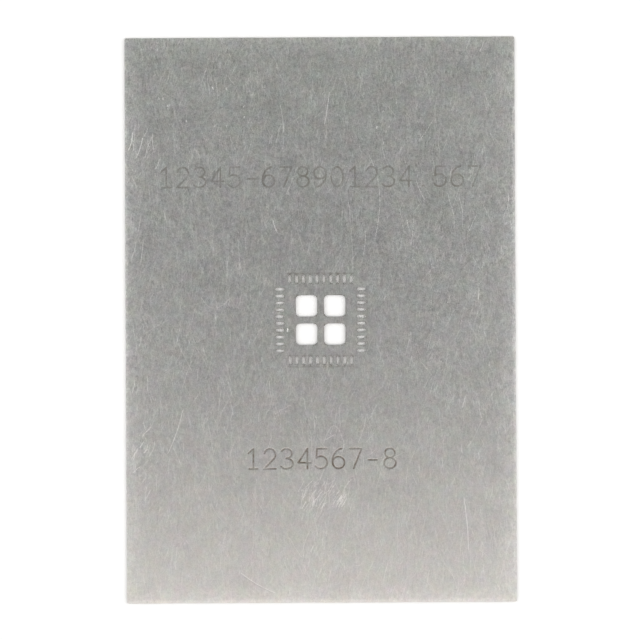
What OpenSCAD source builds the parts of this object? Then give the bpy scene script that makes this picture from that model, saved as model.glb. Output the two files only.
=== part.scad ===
// Laser-cut solder paste stencil for one square leadless package.
// One sheet of stainless foil: X across, Y along, Z up. The printed circuit
// board side lies on Z = 0 and the squeegee side is at Z = foil_t.
// The origin is the middle of the board side, under the middle of the pattern.

/* [Foil] */
// Width of the foil across X
foil_w = 28.5; // [20:0.5:60]
// Length of the foil along Y
foil_l = 41.3; // [30:0.1:80]
// Thickness of the foil
foil_t = 0.1; // [0.08:0.01:0.2]
// Radius of the foil's four corners
foil_corner_r = 0.15; // [0.05:0.05:2]

/* [Lead apertures] */
// Number of apertures in each of the four rows
leads_per_row = 10; // [8:1:14]
// Distance from one aperture to the next along a row
lead_pitch = 0.5; // [0.4:0.05:0.65]
// Length of a lead aperture on the squeegee side
lead_l = 0.62; // [0.4:0.02:0.8]
// Width of a lead aperture on the squeegee side
lead_w = 0.2; // [0.12:0.01:0.28]
// Distance from the last aperture of a row to the centre line of the next row
row_corner = 0.72; // [0.6:0.02:1]

/* [Thermal pad windows] */
// Number of windows along each side of the thermal pad
windows_per_side = 2; // [1:1:3]
// Web of foil left between two windows
window_web = 0.5; // [0.3:0.02:0.8]
// Radius of a window's corners on the squeegee side
window_r = 0.33; // [0.05:0.01:0.4]
// Foil left between the lead apertures and the windows
pad_margin = 0.85; // [0.6:0.01:1.2]

/* [Laser cut] */
// Angle by which each aperture widens towards the board side, for a clean release
wall_draft = 5; // [1:0.5:8]

/* [Hidden] */
$fn = 48;
cut_over = 0.05;                                        // cutters pass both faces by this much
widening = tan(wall_draft);                             // sideways growth for each unit of depth
row_l = (leads_per_row - 1) * lead_pitch;               // first aperture to last
row_spacing = row_l + 2 * row_corner;                   // centre lines of opposite rows
pad_size = row_spacing - lead_l - 2 * pad_margin;       // outer side of the window block
window_size = (pad_size - (windows_per_side - 1) * window_web) / windows_per_side;
window_pitch = window_size + window_web;

// Rectangle of the given size with round corners, flat and centred.
module rounded_outline(size, r) {
    square([size.x - 2 * r, size.y], center = true);
    square([size.x, size.y - 2 * r], center = true);
    for (x = [-1, 1], y = [-1, 1])
        translate([x * (size.x / 2 - r), y * (size.y / 2 - r)])
            circle(r);
}

// Bar of length l along Y whose X width is w on the squeegee side and widens below it.
module drafted_bar(w, l) {
    half_top = w / 2 - cut_over * widening;
    half_bottom = w / 2 + (foil_t + cut_over) * widening;
    rotate([90, 0, 0])
        linear_extrude(height = l, center = true)
            polygon([
                [-half_bottom, -cut_over],
                [half_bottom, -cut_over],
                [half_top, foil_t + cut_over],
                [-half_top, foil_t + cut_over]
            ]);
}

// Cutter for one aperture: size and corner radius r are those on the squeegee side,
// and every wall leans out by the draft angle towards the board.
module drafted_aperture(size, r) {
    straight = [size.x / 2 - r, size.y / 2 - r];
    xs = straight.x > 0 ? [-straight.x, straight.x] : [0];
    ys = straight.y > 0 ? [-straight.y, straight.y] : [0];
    for (x = xs, y = ys)
        translate([x, y, -cut_over])
            cylinder(
                h = foil_t + 2 * cut_over,
                r1 = r + (foil_t + cut_over) * widening,
                r2 = r - cut_over * widening
            );
    if (straight.y > 0)
        drafted_bar(size.x, 2 * straight.y);
    if (straight.x > 0)
        rotate(90)
            drafted_bar(size.y, 2 * straight.x);
}

// Round-ended slots of the four rows, each pointing at the package's middle.
module lead_cutters() {
    for (side = [0:3])
        rotate(90 * side)
            for (i = [0:leads_per_row - 1])
                translate([row_spacing / 2, i * lead_pitch - row_l / 2, 0])
                    drafted_aperture([lead_l, lead_w], lead_w / 2);
}

// Grid of windows over the thermal pad, with a web left between them.
module window_cutters() {
    first = -(windows_per_side - 1) * window_pitch / 2;
    for (i = [0:windows_per_side - 1], j = [0:windows_per_side - 1])
        translate([first + i * window_pitch, first + j * window_pitch, 0])
            drafted_aperture([window_size, window_size], window_r);
}

module stencil_foil() {
    color("silver")
        difference() {
            linear_extrude(height = foil_t)
                rounded_outline([foil_w, foil_l], foil_corner_r);
            lead_cutters();
            window_cutters();
        }
}

stencil_foil();
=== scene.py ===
# Looks of the solder paste stencil: one rolled stainless foil with laser-cut apertures,
# scribed numbers and the fine scratches of handling.
# Shapes are worked out in millimetres and turned to metres when a mesh is made.
import math

import bmesh
import bpy
import numpy as np
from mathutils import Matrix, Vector
from mathutils.geometry import delaunay_2d_cdt


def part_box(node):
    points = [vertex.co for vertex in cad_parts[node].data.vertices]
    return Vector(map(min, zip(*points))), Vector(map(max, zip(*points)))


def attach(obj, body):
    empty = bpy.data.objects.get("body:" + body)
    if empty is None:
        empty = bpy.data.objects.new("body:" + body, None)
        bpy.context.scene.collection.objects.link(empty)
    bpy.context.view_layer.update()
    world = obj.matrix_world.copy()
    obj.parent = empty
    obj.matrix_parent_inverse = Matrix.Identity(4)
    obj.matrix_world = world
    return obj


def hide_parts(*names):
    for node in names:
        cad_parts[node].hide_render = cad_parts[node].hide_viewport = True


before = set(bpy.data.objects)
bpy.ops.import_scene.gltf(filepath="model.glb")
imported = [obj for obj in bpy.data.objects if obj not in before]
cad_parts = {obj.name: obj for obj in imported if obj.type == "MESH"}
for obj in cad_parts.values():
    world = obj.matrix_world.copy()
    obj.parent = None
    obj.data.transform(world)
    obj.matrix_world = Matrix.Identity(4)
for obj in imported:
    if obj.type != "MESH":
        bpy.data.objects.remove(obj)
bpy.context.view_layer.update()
mm = 0.001
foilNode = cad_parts["stencil_foil"]
foilLow, foilHigh = [np.array(corner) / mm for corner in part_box("stencil_foil")]
foilHalf = (foilHigh - foilLow)[:2] / 2
foilThick = (foilHigh - foilLow)[2]
patternHalf = foilHalf * 0.8    # the apertures lie within this, the rim outside it
levelSlack = 1e-4               # a corner this near to a level is on it, mm
print("frame loaded, foil", np.round(foilHigh - foilLow, 3), "mm")


def cadMesh(node):
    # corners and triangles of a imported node, equal corners joined, in mm
    mesh = node.data
    mesh.calc_loop_triangles()
    points = np.empty(len(mesh.vertices) * 3, np.float32)
    mesh.vertices.foreach_get("co", points)
    corners = np.empty(len(mesh.loop_triangles) * 3, np.int32)
    mesh.loop_triangles.foreach_get("vertices", corners)
    points = np.round(points.reshape(-1, 3).astype(float) / mm, 5)
    points, index = np.unique(points, axis=0, return_inverse=True)
    return points, index.reshape(-1)[corners].reshape(-1, 3)


def openEdges(triangles, count):
    # an edge is open where no other triangle runs along it the other way
    edges = np.concatenate([triangles[:, [0, 1]], triangles[:, [1, 2]], triangles[:, [2, 0]]])
    forward = edges[:, 0] * count + edges[:, 1]
    backward = edges[:, 1] * count + edges[:, 0]
    return edges[~np.isin(forward, backward)]


def loopLabels(edges, count):
    # each corner takes the lowest number in its own loop, passed on from neighbour to neighbour
    label = np.arange(count)
    while True:
        low = np.minimum(label[edges[:, 0]], label[edges[:, 1]])
        passed = label.copy()
        np.minimum.at(passed, edges[:, 0], low)
        np.minimum.at(passed, edges[:, 1], low)
        if np.array_equal(passed, label):
            return label
        label = passed


cadPoints, cadTriangles = cadMesh(foilNode)
inPattern = (np.abs(cadPoints[cadTriangles][:, :, :2]) < patternHalf).all((1, 2))


def onLevel(level):
    # triangles of the flat face at this height
    return (np.abs(cadPoints[cadTriangles][:, :, 2] - level) < levelSlack).all(1)


def apertureLoops(level):
    # edges round the apertures in the flat face at this height, as pairs of corners
    edges = openEdges(cadTriangles[onLevel(level)], len(cadPoints))
    near = (np.abs(cadPoints[edges][:, :, :2]) < patternHalf).all((1, 2))
    return edges[near]


def apertureBoxes(edges):
    # middle and size of each aperture, from the lowest and highest corner of its loop
    labels = loopLabels(edges, len(cadPoints))[edges[:, 0]]
    names, index = np.unique(labels, return_inverse=True)
    low = np.full((len(names), 2), np.inf)
    high = -low
    np.minimum.at(low, index, cadPoints[edges[:, 0], :2])
    np.maximum.at(high, index, cadPoints[edges[:, 0], :2])
    return (low + high) / 2, high - low


topLoops = apertureLoops(foilThick)
bottomLoops = apertureLoops(0)
apertureMiddle, apertureSize = apertureBoxes(topLoops)
print("apertures found in the frame:", len(apertureMiddle))

rim = {
    "points": 176,        # points along each side
    "cornerPoints": 6,    # points round each corner
    "corner": 0.15,       # corner radius, mm
    "leastCorner": 0.02,  # and the smallest one of the rings inside it, mm
    "wander": 0.022,      # how far the cut strays inwards in long waves, mm
    "wanderWaves": (3, 7, 13, 22, 31),      # waves in one turn round the foil
    "ripple": 0.014,      # how far it strays in short waves, mm
    "rippleWaves": (53, 88, 131, 170),
    "phase": 6.28,        # the waves start anywhere within this angle
    "rollWidth": 0.32,    # width of the rounded-over rim, mm
    "rollDrop": 0.016,    # how far the rim falls at the cut, mm
    "rollSteps": 5,       # rings across the rounded-over rim
    "scorchAndShade": 0.3,        # how brown the cut is
    "seed": 11,
}


def rimRing(inset, spec):
    # walks round a rounded rectangle: four sides as straight lines and four corners as quarter
    # turns. Long and short waves along the walk pull the line inwards.
    radius = max(spec["corner"] - inset, spec["leastCorner"])
    straight = foilHalf - inset - radius
    quarter = np.arange(4)[:, None] * math.pi / 2
    sideShare = np.linspace(-1, 1, spec["points"])
    cornerShare = np.linspace(0, 1, spec["cornerPoints"] + 2)[1:-1]
    turn = np.concatenate([quarter + 0 * sideShare, quarter + cornerShare * math.pi / 2], 1)
    slide = np.concatenate([sideShare, np.ones(spec["cornerPoints"])])
    ahead = np.stack([-np.sin(quarter), np.cos(quarter)], 2)
    out = np.stack([np.cos(quarter), np.sin(quarter)], 2)
    normal = np.stack([np.cos(turn), np.sin(turn)], 2)
    ring = (out + ahead * slide[:, None]) * straight + normal * radius
    ring, normal = ring.reshape(-1, 2), normal.reshape(-1, 2)
    angle = np.arctan2(ring[:, 1] / foilHalf[1], ring[:, 0] / foilHalf[0])
    draws = np.random.default_rng(spec["seed"])
    pull = 0
    for name in ("wander", "ripple"):
        waves = spec[name + "Waves"]
        mean = sum(np.sin(angle * k + draws.uniform(0, spec["phase"])) for k in waves) / len(waves)
        pull = pull + spec[name] * (mean + 1) / 2
    return ring - normal * pull[:, None]


def rimDrop(points, spec):
    # the rim falls as the square of the way out from where the roundness starts
    gap = (foilHalf - np.abs(points)).min(1)
    return spec["rollDrop"] * np.clip(1 - gap / spec["rollWidth"], 0, 1) ** 2


strokePoints = 17    # points along each stroke of a sign


def arc(x, y, halfWide, halfHigh, start, end):
    # part of an ellipse between two angles in degrees
    turn = np.radians(np.linspace(start, end, strokePoints))
    return np.stack([x + halfWide * np.cos(turn), y + halfHigh * np.sin(turn)], 1)


def line(*corners):
    return np.array(corners, float)


def join(*parts):
    return np.concatenate(parts)


# single-stroke signs in a box 1 high
signWidth = 0.6
signs = {
    "0": [arc(0.3, 0.5, 0.3, 0.5, 90, 450)],
    "1": [line((0.08, 0.78), (0.33, 1)), line((0.33, 1), (0.33, 0)), line((0.12, 0), (0.54, 0))],
    "2": [join(arc(0.3, 0.7, 0.28, 0.3, 165, -35), line((0.01, 0))), line((0.01, 0), (0.6, 0))],
    "3": [arc(0.27, 0.76, 0.27, 0.24, 150, -90), arc(0.27, 0.26, 0.32, 0.26, 90, -150)],
    "4": [line((0.46, 0), (0.46, 1)), line((0.46, 1), (0, 0.3)), line((0, 0.3), (0.62, 0.3))],
    "5": [
        line((0.56, 1), (0.09, 1)),
        line((0.09, 1), (0.05, 0.54)),
        arc(0.27, 0.31, 0.32, 0.31, 130, -145),
    ],
    "6": [arc(0.5, 0.35, 0.5, 0.65, 95, 178), arc(0.3, 0.3, 0.3, 0.3, 180, -180)],
    "7": [line((0, 1), (0.6, 1)), line((0.6, 1), (0.2, 0))],
    "8": [arc(0.3, 0.77, 0.25, 0.23, -90, 270), arc(0.3, 0.27, 0.3, 0.27, 90, 450)],
    "9": [arc(0.1, 0.65, 0.5, 0.65, -85, -2), arc(0.3, 0.7, 0.3, 0.3, 0, 360)],
    "-": [line((0.08, 0.42), (0.52, 0.42))],
    ".": [line((0.28, 0.03), (0.34, 0.03))],
}

scribing = {
    "width": 0.19,        # full width of a scribed line, mm
    "floor": 0.09,        # width of its flat floor, mm
    "depth": 0.006,       # mm
    "height": 1.46,       # height of a sign, mm
    "pitch": 1.25,        # from a sign to the next, mm
    # plain counting numbers, how far along Y their middle is, mm, and their share of the full depth
    "rows": [("12345-678901234.567", 10.45, 0.62), ("1234567-8", -10.1, 1.0)],
}


def evened(path, count):
    # the same path with evenly spaced points
    length = np.concatenate([[0], np.cumsum(np.linalg.norm(np.diff(path, axis=0), axis=1))])
    walk = np.linspace(0, length[-1], count)
    return np.stack([np.interp(walk, length, path[:, k]) for k in (0, 1)], 1)


def scribedPaths(spec):
    # the signs of each row side by side, the row's middle on the foil's, and each line's depth
    paths = []
    depths = []
    for signRow, middle, share in spec["rows"]:
        for place, sign in enumerate(signRow):
            x = (place - (len(signRow) - 1) / 2) * spec["pitch"] - signWidth / 2 * spec["height"]
            corner = (x, middle - spec["height"] / 2)
            paths += [stroke * spec["height"] + corner for stroke in signs[sign]]
            depths += [spec["depth"] * share] * len(signs[sign])
    return np.array([evened(path, strokePoints) for path in paths]), np.array(depths)


wear = {
    "count": 1500,              # hairlines on the squeegee side, before those near a cut are left out
    "underCount": 250,          # and on the board side
    "length": (0.5, 3.2),       # mm
    "heading": (90, 19),        # mean and spread, degrees
    "bend": 18,                 # spread of the turn along a line, degrees
    "width": (0.04, 0.06),      # mm
    "depth": (0.0006, 0.004),   # mm
    "skew": (1.2, 3),           # most lines are short and shallow: the two powers of a beta spread
    "points": 5,                # along a hairline
    "clear": 0.1,               # from a hairline to a cut, mm
    "longPoints": 9,            # along a longer scratch
    "scuffPoints": 4,           # along a scuff
    "scuffBend": 15,            # spread of the turn along a scuff, degrees
    "scuffFaintest": 0.4,       # least share of its patch's depth
    "scuffClear": 0.06,         # from a scuff to a cut, mm
    "brightAt": 0.005,          # depth from which a scratch is fully bright, bare metal and painted glint in full, mm
    "seed": 5,
}

# start, bend and end of the longer scratches, their width and depth, mm
longScratches = [
    ((0.7, 16.6), (0.6, 15.4), (0.35, 14.3), 0.07, 0.0055),
    ((3.6, 12.0), (4.9, 9.6), (4.0, 5.9), 0.05, 0.0035),
    ((-3.45, 7.25), (-3.35, 6.8), (-3.15, 6.4), 0.07, 0.0060),
    ((1.95, 9.5), (2.3, 7.0), (2.4, 3.7), 0.05, 0.0028),
    ((-6.0, 5.9), (-5.9, 4.6), (-5.9, 3.25), 0.05, 0.0032),
    ((-13.7, 13.7), (-13.7, 13.0), (-14.0, 12.4), 0.09, 0.0080),
    ((-12.95, 13.3), (-13.1, 12.5), (-13.45, 11.85), 0.08, 0.0070),
    ((-8.65, 1.6), (-7.9, 0.2), (-6.6, 1.6), 0.06, 0.0032),
    ((-10.1, -6.55), (-10.5, -8.3), (-11.2, -9.7), 0.06, 0.0040),
    ((0.2, -8.95), (0.93, -6.5), (1.66, -8.95), 0.06, 0.0032),
    ((3.27, -7.2), (3.1, -8.1), (2.7, -8.95), 0.06, 0.0034),
    ((10.4, -13.1), (10.7, -15.0), (10.7, -16.8), 0.06, 0.0045),
    ((-5.9, -18.45), (-4.9, -19.3), (-3.45, -19.9), 0.10, 0.0060),
]

# patches of short scuffs: how many, middle and half size of the patch, heading and its spread in
# degrees, length, width and depth, mm
scuffs = [
    (40, (0.3, -12.7), (1.8, 0.9), (62, 14), (0.35, 1.2), 0.06, 0.0040),
    (20, (1.5, -13.0), (0.35, 0.5), (60, 10), (0.25, 0.7), 0.07, 0.0065),
    (16, (-0.6, -13.2), (0.8, 0.6), (65, 10), (0.3, 0.9), 0.06, 0.0055),
    (40, (-4.5, 12.0), (8.5, 7.5), (74, 22), (0.6, 2.2), 0.05, 0.0032),
    (30, (-2.0, -7.5), (9.0, 3.0), (80, 26), (0.5, 1.9), 0.05, 0.0034),
    (26, (8.0, 8.0), (5.5, 10.0), (84, 24), (0.5, 1.8), 0.05, 0.0032),
    (12, (-12.8, 12.9), (1.0, 1.6), (78, 16), (0.6, 1.6), 0.06, 0.0050),
    (18, (-13.2, -9.8), (0.6, 3.0), (58, 18), (0.3, 1.0), 0.05, 0.0040),
    (14, (-8.5, 16.2), (3.6, 2.2), (75, 30), (0.08, 0.20), 0.08, 0.0090),
    (8, (3.0, 14.5), (5.0, 4.5), (80, 25), (0.08, 0.20), 0.08, 0.0090),
    (4, (-2.42, -0.72), (0.03, 0.06), (75, 15), (0.14, 0.22), 0.06, 0.0080),
    (8, (5.0, -17.5), (6.0, 2.0), (75, 35), (0.15, 0.6), 0.06, 0.0045),
]


def bentPaths(rows, count):
    # quadratic curve from the start to the end, drawn towards the bend
    t = np.linspace(0, 1, count)[:, None]
    start, bend, end = [np.array([row[k] for row in rows])[:, None] for k in (0, 1, 2)]
    return start * (1 - t) ** 2 + bend * 2 * t * (1 - t) + end * t ** 2


def strayPaths(middles, headings, turns, lengths, count):
    # the heading changes evenly along each path and its steps add up. It is centred on its middle.
    share = (np.arange(count - 1) + 0.5) / (count - 1)
    angle = np.radians(headings[:, None] + turns[:, None] * (share - 0.5))
    step = lengths[:, None] / (count - 1)
    moves = np.stack([np.cos(angle) * step, np.sin(angle) * step], 2)
    walk = np.concatenate([np.zeros((len(middles), 1, 2)), np.cumsum(moves, 1)], 1)
    return middles[:, None] + walk - walk.mean(1, keepdims=True)


def strokeSet(paths, width, depth, floor=0.0):
    # strokes with half their width, half the width of their flat floor, and their depth, in mm
    count = len(paths)
    return {
        "paths": paths,
        "half": np.broadcast_to(np.asarray(width, float) / 2, count),
        "floor": np.full(count, floor / 2),
        "depth": np.broadcast_to(np.asarray(depth, float), count),
    }


def clearOfCuts(strokes, margin):
    # leaves out strokes that come near an aperture or the rim, so that no wall is cut by one
    gap = np.abs(strokes["paths"][:, :, None] - apertureMiddle) - apertureSize / 2
    nearAperture = (gap.max(3) < margin).any((1, 2))
    nearRim = (np.abs(strokes["paths"]) > foilHalf - margin).any((1, 2))
    keep = ~(nearAperture | nearRim)
    return {name: values[keep] for name, values in strokes.items()}


def hairlines(count, spec, seed):
    # stray lines with their middles spread evenly over the foil
    draws = np.random.default_rng(seed)
    middles = draws.uniform(-1, 1, (count, 2)) * foilHalf
    headings = draws.normal(*spec["heading"], count)
    turns = draws.normal(0, spec["bend"], count)
    shares = draws.beta(*spec["skew"], (2, count))
    lengths = spec["length"][0] + (spec["length"][1] - spec["length"][0]) * shares[0]
    depths = spec["depth"][0] + (spec["depth"][1] - spec["depth"][0]) * shares[1]
    widths = draws.uniform(*spec["width"], count)
    paths = strayPaths(middles, headings, turns, lengths, spec["points"])
    return clearOfCuts(strokeSet(paths, widths, depths), spec["clear"])


def scuffed(rows, spec, seed):
    # short strokes spread evenly over each patch
    draws = np.random.default_rng(seed)
    sets = []
    for count, middle, half, heading, length, width, depth in rows:
        middles = np.array(middle) + draws.uniform(-1, 1, (count, 2)) * half
        turns = draws.normal(0, spec["scuffBend"], count)
        headings = draws.normal(*heading, count)
        lengths = draws.uniform(*length, count)
        paths = strayPaths(middles, headings, turns, lengths, spec["scuffPoints"])
        depths = depth * draws.uniform(spec["scuffFaintest"], 1, count)
        sets.append(clearOfCuts(strokeSet(paths, width, depths), spec["scuffClear"]))
    return sets


scribedLines, scribedDepths = scribedPaths(scribing)
scribedSet = strokeSet(scribedLines, scribing["width"], scribedDepths, scribing["floor"])
longWidths, longDepths = np.array([row[3:] for row in longScratches]).T
scratchSets = [
    hairlines(wear["count"], wear, wear["seed"]),
    strokeSet(bentPaths(longScratches, wear["longPoints"]), longWidths, longDepths),
    *scuffed(scuffs, wear, wear["seed"] + 2),
]
underSets = [hairlines(wear["underCount"], wear, wear["seed"] + 1)]
scratchCount = sum(len(strokes["paths"]) for strokes in scratchSets)
print("strokes laid out:", len(scribedSet["paths"]), "scribed,", scratchCount, "scratches")


def rings(paths, reach):
    # closed line round each path at a given distance: along its left side, half round its end,
    # back along its right side and half round its start
    step = np.gradient(paths, axis=1)
    ahead = step / np.linalg.norm(step, axis=2, keepdims=True)
    left = np.stack([-ahead[:, :, 1], ahead[:, :, 0]], 2)
    reach = np.reshape(reach, (-1, 1, 1))
    swing = (np.array([0.25, 0.5, 0.75]) * math.pi)[:, None]
    endCap = paths[:, -1:] + (left[:, -1:] * np.cos(swing) + ahead[:, -1:] * np.sin(swing)) * reach
    startCap = paths[:, :1] - (left[:, :1] * np.cos(swing) + ahead[:, :1] * np.sin(swing)) * reach
    return np.concatenate([paths + left * reach, endCap, (paths - left * reach)[:, ::-1], startCap], 1)


def chained(lines, closed):
    # points of all lines in one list, and the edges that join each line's neighbours
    number = np.arange(lines.shape[0] * lines.shape[1]).reshape(lines.shape[:2])
    ahead = np.roll(number, -1, axis=1)
    edges = np.stack([number, ahead], 2)
    edges = edges if closed else edges[:, :-1]
    return lines.reshape(-1, 2), edges.reshape(-1, 2)


def strokeLines(strokes):
    # what the mesh follows: the sides of every stroke, and the sides of its floor or its one deepest line
    flat = strokes["floor"] > 0
    parts = [chained(rings(strokes["paths"], strokes["half"]), True)]
    if flat.any():
        parts.append(chained(rings(strokes["paths"][flat], strokes["floor"][flat]), True))
    if (~flat).any():
        parts.append(chained(strokes["paths"][~flat], False))
    return parts


def engraved(points, strokes):
    # depth at each point: full over a stroke's floor, falling evenly to nothing at its side,
    # and the deepest where strokes cross
    starts = strokes["paths"][:, :-1].reshape(-1, 2)
    spans = strokes["paths"][:, 1:].reshape(-1, 2) - starts
    each = strokes["paths"].shape[1] - 1
    half, floor, depth = [np.repeat(strokes[name], each) for name in ("half", "floor", "depth")]
    size = np.maximum((spans ** 2).sum(1), 1e-12)
    low = np.minimum(starts[:, 1], starts[:, 1] + spans[:, 1]) - half
    high = np.maximum(starts[:, 1], starts[:, 1] + spans[:, 1]) + half
    found = np.zeros(len(points))
    order = np.argsort(points[:, 1])
    batch = 1000    # points at once, as neighbours along Y meet only the strokes near them
    for first in range(0, len(points), batch):
        chosen = order[first:first + batch]
        part = points[chosen]
        near = (low < part[:, 1].max()) & (high > part[:, 1].min())
        if not near.any():
            continue
        away = part[:, None] - starts[near]
        share = np.clip((away * spans[near]).sum(2) / size[near], 0, 1)
        gap = np.linalg.norm(away - share[:, :, None] * spans[near], axis=2)
        slope = np.clip((half[near] - gap) / (half[near] - floor[near]), 0, 1)
        found[chosen] = (slope * depth[near]).max(1)
    return found


def insideEdges(points, starts, ends):
    # even-odd rule: a point is inside where a line from it along +X crosses an odd number of edges
    inside = np.zeros(len(points), bool)
    rise = np.where(ends[:, 1] == starts[:, 1], 1, ends[:, 1] - starts[:, 1])
    batch = 3000    # points at once
    for first in range(0, len(points), batch):
        x, y = points[first:first + batch].T[:, :, None]
        spans = (starts[:, 1] > y) != (ends[:, 1] > y)
        crossing = starts[:, 0] + (y - starts[:, 1]) / rise * (ends[:, 0] - starts[:, 0])
        inside[first:first + batch] = (spans & (crossing > x)).sum(1) % 2 == 1
    return inside


def flatFace(parts, loops):
    # triangles between all the given lines, without what lies outside the rim or in an aperture
    sizes = np.cumsum([0] + [len(points) for points, _ in parts])
    points = np.concatenate([part[0] for part in parts])
    edges = np.concatenate([part[1] + start for part, start in zip(parts, sizes)])
    spots = [Vector(p) for p in points.tolist()]
    made = delaunay_2d_cdt(spots, edges.tolist(), [], 0, 1e-5, False)
    places = np.array([p.to_tuple() for p in made[0]])
    triangles = np.array(made[2])
    a, b, c = places[triangles].transpose(1, 0, 2)
    area = (b - a)[:, 0] * (c - a)[:, 1] - (b - a)[:, 1] * (c - a)[:, 0]
    triangles[area < 0] = triangles[area < 0][:, ::-1]
    triangles = triangles[np.abs(area) > 1e-9]
    middles = places[triangles].mean(1)
    rimPoints, rimEdges = parts[0]
    rimStarts, rimEnds = rimPoints[rimEdges[:, 0]], rimPoints[rimEdges[:, 1]]
    loopStarts, loopEnds = cadPoints[loops[:, 0], :2], cadPoints[loops[:, 1], :2]
    kept = insideEdges(middles, rimStarts, rimEnds)
    near = (np.abs(middles) < np.abs(loopStarts).max(0) + 0.1).all(1)
    kept[near] &= ~insideEdges(middles[near], loopStarts, loopEnds)
    return places, triangles[kept]


def loopPart(loops):
    # the aperture edges as points and pairs of their own
    names, index = np.unique(loops, return_inverse=True)
    return cadPoints[names, :2], index.reshape(-1, 2)


marks = {
    "reach": 4.4,         # half size of the finely meshed field round the apertures, mm
    "spacing": 0.1,       # from one of its points to the next, mm
    "clear": 0.02,        # from its points to an aperture, mm
    "past": 0.09,         # from an aperture's end to the middle of its scorch mark, mm
    "along": 0.05,        # size of a mark along the aperture, mm
    "across": 0.21,       # and across it, mm
    # strength of the brown and painted shade at the outer and at the inner ends of each row
    "outer": {"top": 1.2, "bottom": 0.9, "right": 0.5, "left": 0.25},
    "inner": {"top": 0.15, "bottom": 0.9, "right": 0.1, "left": 0.05},
}


def scorchAndShadeMarks(points, spec):
    # soft brown spots past the ends of the lead apertures, one bell-shaped spot for each end: heat tint,
    # and painted shade of the dark aperture ends, stronger on some rows than others
    found = np.zeros(len(points))
    # a lead aperture is over twice as long as wide
    slots = apertureSize.min(1) < 0.5 * apertureSize.max(1)
    near = (np.abs(points) < spec["reach"] - spec["spacing"]).all(1)
    for middle, size in zip(apertureMiddle[slots], apertureSize[slots]):
        axis = int(size[1] > size[0])
        side = math.copysign(1, middle[axis])
        bank = (("left", "right"), ("bottom", "top"))[axis][side > 0]
        for strength, end in ((spec["outer"][bank], side), (spec["inner"][bank], -side)):
            target = middle[axis] + end * (size[axis] / 2 + spec["past"])
            along = (points[near, axis] - target) / spec["along"]
            across = (points[near, 1 - axis] - middle[1 - axis]) / spec["across"]
            found[near] = np.maximum(found[near], strength * np.exp(-along ** 2 - across ** 2))
    return found


def fieldGrid(spec):
    # even grid of points over the field round the apertures, clear of their walls
    steps = np.arange(-spec["reach"], spec["reach"] + 1e-6, spec["spacing"])
    grid = np.stack(np.meshgrid(steps, steps), 2).reshape(-1, 2)
    gap = (np.abs(grid[:, None] - apertureMiddle) - apertureSize / 2).max(2)
    return grid[(gap > spec["clear"]).all(1)], np.zeros((0, 2), int)


def engravedBy(points, sets):
    # the deepest of several sets of strokes at each point
    return np.max([engraved(points, strokes) for strokes in sets], 0)


def lift(points, heights):
    return np.column_stack([points, np.broadcast_to(heights, len(points))])


def foilShell():
    # the squeegee side, the board side, the walls of the apertures and the wall of the rim
    ringSteps = np.arange(rim["rollSteps"] + 1) / rim["rollSteps"] * rim["rollWidth"]
    rimLines = [chained(rimRing(inset, rim)[None], True) for inset in ringSteps]
    topParts = [*rimLines, loopPart(topLoops), *strokeLines(scribedSet), fieldGrid(marks)]
    for strokes in scratchSets:
        topParts += strokeLines(strokes)
    places, faces = flatFace(topParts, topLoops)
    print("squeegee side:", len(faces), "triangles")
    scratched = engravedBy(places, scratchSets)
    scribedDepth = engraved(places, scribedSet)
    drop = rimDrop(places, rim)
    top = lift(places, foilThick - drop - np.maximum(scratched, scribedDepth))
    # laser browning of the scribed lines, and of the spots past the lead apertures' ends, which are also
    # painted shade
    scorchAndShade = np.maximum(scribedDepth / scribing["depth"], scorchAndShadeMarks(places, marks))

    underParts = [rimLines[0], rimLines[-1], loopPart(bottomLoops), fieldGrid(marks)]
    for strokes in underSets:
        underParts += strokeLines(strokes)
    underPlaces, underFaces = flatFace(underParts, bottomLoops)
    underDepth = engravedBy(underPlaces, underSets)
    under = lift(underPlaces, underDepth)
    print("board side:", len(underFaces), "triangles")

    wallFaces = cadTriangles[inPattern & ~onLevel(foilThick) & ~onLevel(0)]
    names, index = np.unique(wallFaces, return_inverse=True)
    wall = cadPoints[names]
    wallFaces = index.reshape(-1, 3)

    ring = rimLines[0][0]
    count = len(ring)
    rimWall = np.concatenate([lift(ring, foilThick - rimDrop(ring, rim)), lift(ring, 0)])
    near = np.arange(count)
    ahead = np.roll(near, -1)
    rimFaces = np.concatenate([
        np.stack([near, near + count, ahead + count], 1),
        np.stack([near, ahead + count, ahead], 1),
    ])

    # each group: points, triangles, brown (painted shade too past the lead apertures) and scratch
    # brightness (bare metal with painted glint)
    groups = [
        (top, faces, scorchAndShade, np.minimum(scratched / wear["brightAt"], 1)),
        (under, underFaces[:, ::-1], 0, np.minimum(underDepth / wear["brightAt"], 1)),
        (wall, wallFaces, 1, 0),
        (rimWall, rimFaces, rim["scorchAndShade"], 0),
    ]
    starts = np.cumsum([0] + [len(group[0]) for group in groups])
    points = np.concatenate([group[0] for group in groups])
    triangles = np.concatenate([group[1] + start for group, start in zip(groups, starts)])
    values = [
        np.concatenate([np.broadcast_to(group[k], len(group[0])) for group in groups]) for k in (2, 3)
    ]
    return points, triangles, values


bakeMap = {
    "top": ((0.01, 0.01), (0.64, 0.93)),      # corner and size on the map of the squeegee side
    "under": ((0.67, 0.01), (0.32, 0.465)),   # of the board side
    "cuts": ((0.67, 0.50), (0.31, 0.31)),     # of the aperture walls, seen from above
    "rim": ((0.67, 0.86), (0.31, 0.04)),      # of the rim wall, unrolled
    "cutsHalf": 3.6,                          # half size of the field with the aperture walls, mm
    "wallHeight": 0.004,                      # how far the foot of an aperture wall is drawn aside
}


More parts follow.
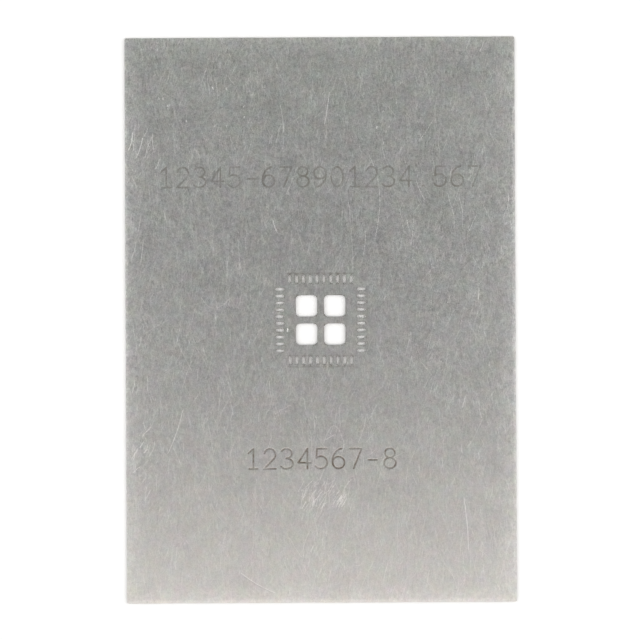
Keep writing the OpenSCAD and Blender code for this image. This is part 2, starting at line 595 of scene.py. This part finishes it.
def mapFlat(mesh, spec):
    # lays the texture map out: each face of the foil flat, the aperture walls drawn a little aside
    # by their height, and the rim wall unrolled by its angle about Z
    corner = np.empty(len(mesh.loops), np.int32)
    mesh.loops.foreach_get("vertex_index", corner)
    places = np.empty(len(mesh.vertices) * 3, np.float32)
    mesh.vertices.foreach_get("co", places)
    places = places.reshape(-1, 3)[corner] / mm
    normals = np.empty(len(mesh.polygons) * 3, np.float32)
    mesh.polygons.foreach_get("normal", normals)
    normals = np.repeat(normals.reshape(-1, 3), 3, axis=0)
    across = np.abs(normals[:, 2]) > 0.5
    pattern = (np.abs(places[:, :2]) < spec["cutsHalf"]).all(1)
    height = places[:, 2:] / foilThick
    flat = (places[:, :2] / foilHalf + 1) / 2
    walls = (places[:, :2] / spec["cutsHalf"] + 1) / 2
    aside = np.abs(normals[:, :2]) > np.abs(normals[:, 1::-1])
    walls = walls + aside * height * spec["wallHeight"]
    angle = np.arctan2(places[:, 1], places[:, 0]).reshape(-1, 3)
    angle = np.where((np.ptp(angle, axis=1)[:, None] > math.pi) & (angle < 0), angle + 2 * math.pi, angle)
    unrolled = np.column_stack([angle.reshape(-1) / (2 * math.pi) + 0.5, height])
    areas = {
        "top": (across & (normals[:, 2] > 0), flat),
        "under": (across & (normals[:, 2] < 0), flat),
        "cuts": (~across & pattern, walls),
        "rim": (~across & ~pattern, unrolled),
    }
    found = np.zeros((len(corner), 2))
    for name, (chosen, share) in areas.items():
        start, size = np.array(spec[name])
        found[chosen] = start + share[chosen] * size
    mesh.uv_layers.new(name="OFBake").uv.foreach_set("vector", found.astype(np.float32).reshape(-1))


def foilPiece():
    points, triangles, (scorchAndShade, metalAndGlint) = foilShell()
    mesh = bpy.data.meshes.new("foilSheet")
    mesh.from_pydata((points * mm).tolist(), [], triangles.tolist())
    for name, value in (("scorchAndShade", scorchAndShade), ("metalAndGlint", metalAndGlint)):
        mesh.attributes.new(name, "FLOAT", "POINT").data.foreach_set("value", value.astype(np.float32))
    # the faces and walls share their edges, so their equal corners are joined
    shell = bmesh.new()
    shell.from_mesh(mesh)
    bmesh.ops.remove_doubles(shell, verts=shell.verts, dist=1e-7)
    bmesh.ops.dissolve_degenerate(shell, edges=shell.edges, dist=1e-9)
    shell.to_mesh(mesh)
    shell.free()
    mapFlat(mesh, bakeMap)
    piece = bpy.data.objects.new("foilSheet", mesh)
    bpy.context.scene.collection.objects.link(piece)
    return piece


def newNode(tree, kind, **settings):
    # settings are the node's own choices, such as its operation
    made = tree.nodes.new(kind)
    for name, value in settings.items():
        setattr(made, name, value)
    return made


def feed(tree, source, socket):
    # joins a socket to another node's output, or sets it to a plain value
    if isinstance(source, bpy.types.NodeSocket):
        tree.links.new(source, socket)
    else:
        socket.default_value = source


def mathOf(tree, operation, first, second):
    made = newNode(tree, "ShaderNodeMath", operation=operation)
    for socket, source in zip(made.inputs, (first, second)):
        feed(tree, source, socket)
    return made.outputs[0]


def softStep(tree, source, low, high, first=0.0, last=1.0):
    # the first value below low, the last value above high and a smooth curve between them
    made = newNode(tree, "ShaderNodeMapRange", interpolation_type="SMOOTHSTEP")
    values = {"Value": source, "From Min": low, "From Max": high, "To Min": first, "To Max": last}
    for name, value in values.items():
        feed(tree, value, made.inputs[name])
    return made.outputs[0]


def colourMix(tree, share, first, second):
    # the first colour at share 0, the second one at share 1
    made = newNode(tree, "ShaderNodeMix", data_type="RGBA")
    for name, source in (("Factor", share), ("A", first), ("B", second)):
        feed(tree, source, made.inputs[name])
    return made.outputs["Result"]


finish = {
    "steel": (0.598, 0.597, 0.58),
    # the colour of a scratch: bare metal brightened to a painted glint
    "scratched": (0.95, 0.94, 0.92),
    # brown of the laser marks, also the painted shade past the lead apertures' ends
    "scorchAndShadeColour": (0.17, 0.135, 0.10),
    "roughness": 0.34,          # mean, and how far it strays
    "roughSpread": 0.06,
    "grain": (15.0, 0.42),      # features in a mm, and how much they change the tone
    "mottle": (4.0, 0.20),
    "cloud": (0.30, 0.12),
    "tint": (1.1, 0.07),
    # families of fine rubbing lines: heading in degrees, lines in a mm, length in mm, how much
    # they change the tone
    "rubs": [
        (60, 11, 1.1, 0.20),
        (76, 10, 1.6, 0.20),
        (87, 12, 1.8, 0.16),
        (98, 10, 1.5, 0.20),
        (115, 12, 1.0, 0.18),
        (84, 9, 1.6, -0.16),
        (104, 9, 1.2, -0.16),
        (150, 9, 0.9, 0.10),
    ],
    "rubBent": 0.25,            # how much the lines waver
    "rubShown": (0.52, 0.74),   # the noise values between which a line comes up
    "patches": 0.45,            # patches of lines in a mm
    "patchShown": (0.38, 0.62),  # the noise values between which a patch comes up
    "rim": (1.7, 0.13),         # width of the handled rim, mm, and how much lighter it is
    "bump": 0.0012,             # height of the fine relief, mm
    "rubBump": 4,               # height of a rubbing line in it, beside the grain's
    "metalAndGlint": 0.8,               # how much of the bright metal and painted glint the deepest scratch shows
    "blotch": (0.9, 0.56, 0.6),  # patches of a laser mark in a mm, its mean strength and its spread
    "contrastAlongY": (-19, 15),      # from where to where along Y the tone gets more uneven, painted in for the light, mm
    "unevenness": (0.56, 1.25),  # share of the unevenness at either end
    "apart": 0.013,             # from one family's noise to the next one's, m
    "patchApart": 0.017,        # from the patches of one family to the next one's, m
    "blotchApart": 0.031,       # from the grain's noise to the blotches', m
}


def stainlessFoil(spec):
    material = bpy.data.materials.new("stainlessFoil")
    material.use_nodes = True
    tree = material.node_tree
    shader = tree.nodes["Principled BSDF"]
    coordinates = newNode(tree, "ShaderNodeTexCoord")

    def math2(operation, first, second):
        return mathOf(tree, operation, first, second)

    def noise(scale, detail, long=1.0, heading=90, bent=0.0, apart=0.0):
        # noise with this many features in a mm, each drawn out along the heading
        place = newNode(tree, "ShaderNodeMapping", vector_type="TEXTURE")
        feed(tree, coordinates.outputs["Object"], place.inputs["Vector"])
        feed(tree, (apart, apart, apart), place.inputs["Location"])
        feed(tree, (0, 0, math.radians(heading - 90)), place.inputs["Rotation"])
        feed(tree, (mm / scale, mm / scale * long, mm / scale), place.inputs["Scale"])
        made = newNode(tree, "ShaderNodeTexNoise")
        values = {"Scale": 1, "Detail": detail, "Roughness": 0.6, "Distortion": bent}
        for name, value in {"Vector": place.outputs["Vector"], **values}.items():
            feed(tree, value, made.inputs[name])
        return made

    def centred(pattern, share):
        # the pattern's share above or below its mean of one half
        return math2("MULTIPLY", math2("SUBTRACT", pattern, 0.5), 2 * share)

    grain = noise(spec["grain"][0], 2).outputs["Fac"]
    mottle = noise(spec["mottle"][0], 2).outputs["Fac"]
    cloud = noise(spec["cloud"][0], 3).outputs["Fac"]
    uneven = 0.0
    for name, pattern in (("grain", grain), ("mottle", mottle), ("cloud", cloud)):
        uneven = math2("ADD", uneven, centred(pattern, spec[name][1]))
    # each family of lines shows in patches of its own
    rubbed = 0.0
    for k, (heading, many, long, share) in enumerate(spec["rubs"]):
        apart = spec["apart"] * (k + 1)
        lines = noise(many, 2, long * many, heading, spec["rubBent"], apart).outputs["Fac"]
        patch = noise(spec["patches"], 2, apart=spec["patchApart"] * (k + 1)).outputs["Fac"]
        lineShown = softStep(tree, lines, *spec["rubShown"])
        patchShown = softStep(tree, patch, *spec["patchShown"])
        shown = math2("MULTIPLY", lineShown, patchShown)
        rubbed = math2("ADD", rubbed, math2("MULTIPLY", shown, share))
    # the tone varies more towards the far end: painted contrast for the lighting, which shows the grain
    # more where the foil mirrors the dim sky than where it mirrors the near lamp
    across = newNode(tree, "ShaderNodeSeparateXYZ")
    feed(tree, coordinates.outputs["Object"], across.inputs[0])
    near, far = [end * mm for end in spec["contrastAlongY"]]
    paintedContrast = softStep(tree, across.outputs["Y"], near, far, *spec["unevenness"])
    tone = math2("MULTIPLY", math2("ADD", uneven, rubbed), paintedContrast)
    tone = math2("ADD", 1, tone)

    # the rim is handled more, so it is lighter: a soft fall from the edge inwards
    gapX = math2("SUBTRACT", foilHalf[0] * mm, math2("ABSOLUTE", across.outputs["X"], 0))
    gapY = math2("SUBTRACT", foilHalf[1] * mm, math2("ABSOLUTE", across.outputs["Y"], 0))
    inner = softStep(tree, math2("MINIMUM", gapX, gapY), 0, spec["rim"][0] * mm)
    worn = math2("MULTIPLY", math2("SUBTRACT", 1, inner), math2("MULTIPLY", mottle, 2 * spec["rim"][1]))
    tone = math2("ADD", tone, worn)
    steel = newNode(tree, "ShaderNodeVectorMath", operation="SCALE")
    feed(tree, spec["steel"], steel.inputs[0])
    feed(tree, tone, steel.inputs["Scale"])

    # faint coloured patches of the oxide film, from less to more than one by the tint's share
    film = newNode(tree, "ShaderNodeVectorMath", operation="MULTIPLY_ADD")
    feed(tree, noise(spec["tint"][0], 2).outputs["Color"], film.inputs[0])
    feed(tree, [2 * spec["tint"][1]] * 3, film.inputs[1])
    feed(tree, [1 - spec["tint"][1]] * 3, film.inputs[2])
    tinted = newNode(tree, "ShaderNodeVectorMath", operation="MULTIPLY")
    feed(tree, steel.outputs[0], tinted.inputs[0])
    feed(tree, film.outputs[0], tinted.inputs[1])

    # scratches show bright metal with a painted glint of the lamps that they catch, and laser marks are
    # brown in patches
    metalAndGlint = newNode(tree, "ShaderNodeAttribute", attribute_name="metalAndGlint").outputs["Fac"]
    # past the lead apertures' ends this brown is heat tint and painted shade
    scorchAndShade = newNode(tree, "ShaderNodeAttribute", attribute_name="scorchAndShade").outputs["Fac"]
    blotch = noise(spec["blotch"][0], 2, apart=spec["blotchApart"]).outputs["Fac"]
    patchy = math2("ADD", spec["blotch"][1], centred(blotch, spec["blotch"][2]))
    patchy = math2("ADD", patchy, centred(mottle, spec["blotch"][2]))
    scratched = (*spec["scratched"], 1)
    bright = colourMix(tree, math2("MULTIPLY", metalAndGlint, spec["metalAndGlint"]), tinted.outputs[0], scratched)
    browned = colourMix(tree, math2("MULTIPLY", scorchAndShade, patchy), bright, (*spec["scorchAndShadeColour"], 1))

    lowest = spec["roughness"] - spec["roughSpread"]
    rough = math2("ADD", lowest, math2("MULTIPLY", mottle, 2 * spec["roughSpread"]))
    relief = newNode(tree, "ShaderNodeBump")
    height = math2("ADD", grain, math2("MULTIPLY", rubbed, spec["rubBump"]))
    for name, source in (("Strength", 1.0), ("Distance", spec["bump"] * mm), ("Height", height)):
        feed(tree, source, relief.inputs[name])
    feed(tree, browned, shader.inputs["Base Color"])
    feed(tree, 1.0, shader.inputs["Metallic"])
    feed(tree, rough, shader.inputs["Roughness"])
    feed(tree, relief.outputs["Normal"], shader.inputs["Normal"])
    return material


sheet = foilPiece()
sheet.data.materials.append(stainlessFoil(finish))
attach(sheet, "root")
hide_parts("stencil_foil")
print("foil sheet made:", len(sheet.data.polygons), "faces")

studio = {
    "sweepMiddle": 0.02,         # radius of the paper's innermost ring, m
    "sweepHalf": 1.0,            # where the paper starts to bend up, m
    "bend": 0.45,                # radius of the bend, m
    "bendSteps": 9,
    "sides": 48,
    "floorGap": 0.09,            # the foil bows a little, so its middle is this far off the paper, mm
    "paper": 0.85,               # tone of the paper for the light
    "paperSeen": 1.3,            # and for the eye, next to the foil
    "whiteFrom": 0.07,           # where the paper starts to be seen as pure white, m
    "whiteTo": 0.22,             # and where it is, m
    "skyColour": (0.312, 0.317, 0.322),     # overhead
    "sideColour": (0.62, 0.63, 0.635),      # and at the sides
    "skyRise": (0.45, 0.9),      # cosines of the angle from overhead between which the sky changes
    "lens": 60,                  # mm
    "seenFrom": 0.005,           # nearest and farthest thing that the camera sees, m
    "seenTo": 10,
    "frameWidth": 46.7,          # width of the view at the foil, mm
    "shift": -0.05,              # the view's middle is this far from the foil's, along X, mm
    "roll": 0.28,                # degrees
    # place (m), size (m), colour, radiance
    "lamps": {
        "left": ((-0.34, 0.0, 0.30), (0.30, 0.40), (1.0, 0.985, 0.965), 1.14),
        "right": ((0.34, 0.0, 0.30), (0.30, 0.40), (1.0, 0.985, 0.965), 1.43),
        "near": ((0.0, -0.20, 0.42), (0.42, 0.18), (1.0, 0.92, 0.87), 1.14),
        "far": ((0.0, 0.22, 0.42), (0.42, 0.16), (0.94, 1.0, 0.80), 0.2),
    },
}


def whiteSweep(spec):
    # a wide disc of white paper under the foil that curves up into a wall all round, as rings
    # about the Z axis: flat out to the bend, then a quarter circle
    turn = np.linspace(0, 2 * math.pi, spec["sides"], endpoint=False)
    rise = np.linspace(0, math.pi / 2, spec["bendSteps"])
    reach = np.concatenate([[spec["sweepMiddle"]], spec["sweepHalf"] + spec["bend"] * np.sin(rise)])
    height = np.concatenate([[0], spec["bend"] * (1 - np.cos(rise))]) - spec["floorGap"] * mm
    x, y = [reach[:, None] * wave(turn) for wave in (np.cos, np.sin)]
    points = np.stack([x, y, np.broadcast_to(height[:, None], x.shape)], 2).reshape(-1, 3)
    number = np.arange(len(points)).reshape(x.shape)
    ahead = np.roll(number, -1, axis=1)
    faces = np.stack([number[:-1], number[1:], ahead[1:], ahead[:-1]], 2).reshape(-1, 4)
    mesh = bpy.data.meshes.new("paperSweep")
    mesh.from_pydata(points.tolist(), [], [number[0].tolist(), *faces.tolist()])
    sweep = bpy.data.objects.new("paperSweep", mesh)
    bpy.context.scene.collection.objects.link(sweep)
    mesh.materials.append(whitePaper(spec))


def whitePaper(spec):
    # plain paper for the light. Seen by the camera or in a reflection it is a whiter paper near the
    # foil, which keeps the foil's shadow, and pure white further out.
    material = bpy.data.materials.new("whitePaper")
    material.use_nodes = True
    tree = material.node_tree
    tree.nodes.clear()
    ray = newNode(tree, "ShaderNodeLightPath")
    seen = ray.outputs["Is Camera Ray"]
    for other in ("Is Glossy Ray", "Is Transmission Ray"):
        seen = mathOf(tree, "MAXIMUM", seen, ray.outputs[other])
    paper = newNode(tree, "ShaderNodeBsdfDiffuse")
    shades = [(tone, tone, tone, 1) for tone in (spec["paper"], spec["paperSeen"])]
    feed(tree, colourMix(tree, seen, *shades), paper.inputs["Color"])
    place = newNode(tree, "ShaderNodeTexCoord")
    away = newNode(tree, "ShaderNodeVectorMath", operation="LENGTH")
    feed(tree, place.outputs["Object"], away.inputs[0])
    far = softStep(tree, away.outputs["Value"], spec["whiteFrom"], spec["whiteTo"])
    white = newNode(tree, "ShaderNodeEmission")
    both = newNode(tree, "ShaderNodeMixShader")
    sources = (mathOf(tree, "MULTIPLY", far, seen), paper.outputs[0], white.outputs[0])
    for socket, source in zip(both.inputs, sources):
        feed(tree, source, socket)
    feed(tree, both.outputs[0], newNode(tree, "ShaderNodeOutputMaterial").inputs["Surface"])
    return material


def softbox(name, place, size, colour, radiance):
    # a rectangular lamp that faces the middle of the foil
    data = bpy.data.lights.new(name, "AREA")
    data.shape = "RECTANGLE"
    data.size, data.size_y = size
    data.color = colour
    data.energy = radiance * math.pi * size[0] * size[1]
    lamp = bpy.data.objects.new(name, data)
    lamp.location = place
    lamp.rotation_euler = (-Vector(place)).to_track_quat("-Z", "Y").to_euler()
    bpy.context.scene.collection.objects.link(lamp)


def paleSky(spec):
    # brighter at the sides than overhead
    world = bpy.data.worlds.new("paleSky")
    world.use_nodes = True
    tree = world.node_tree
    place = newNode(tree, "ShaderNodeTexCoord")
    across = newNode(tree, "ShaderNodeSeparateXYZ")
    feed(tree, place.outputs["Generated"], across.inputs[0])
    rise = softStep(tree, across.outputs["Z"], *spec["skyRise"])
    shade = colourMix(tree, rise, (*spec["sideColour"], 1), (*spec["skyColour"], 1))
    feed(tree, shade, tree.nodes["Background"].inputs["Color"])
    bpy.context.scene.world = world


def overheadCamera(spec):
    # straight above the foil: the distance is the view's width times the lens over the sensor
    data = bpy.data.cameras.new("overhead")
    data.lens = spec["lens"]
    data.clip_start = spec["seenFrom"]
    data.clip_end = spec["seenTo"]
    camera = bpy.data.objects.new("overhead", data)
    away = spec["frameWidth"] * data.lens / data.sensor_width
    camera.location = (spec["shift"] * mm, 0, (away + foilThick) * mm)
    camera.rotation_euler = (0, 0, -math.radians(spec["roll"]))
    bpy.context.scene.collection.objects.link(camera)
    bpy.context.scene.camera = camera


whiteSweep(studio)
for lampName, lampFacts in studio["lamps"].items():
    softbox(lampName, *lampFacts)
paleSky(studio)
overheadCamera(studio)
bpy.context.scene.view_settings.view_transform = "Standard"
print("floor, lamps and camera placed")
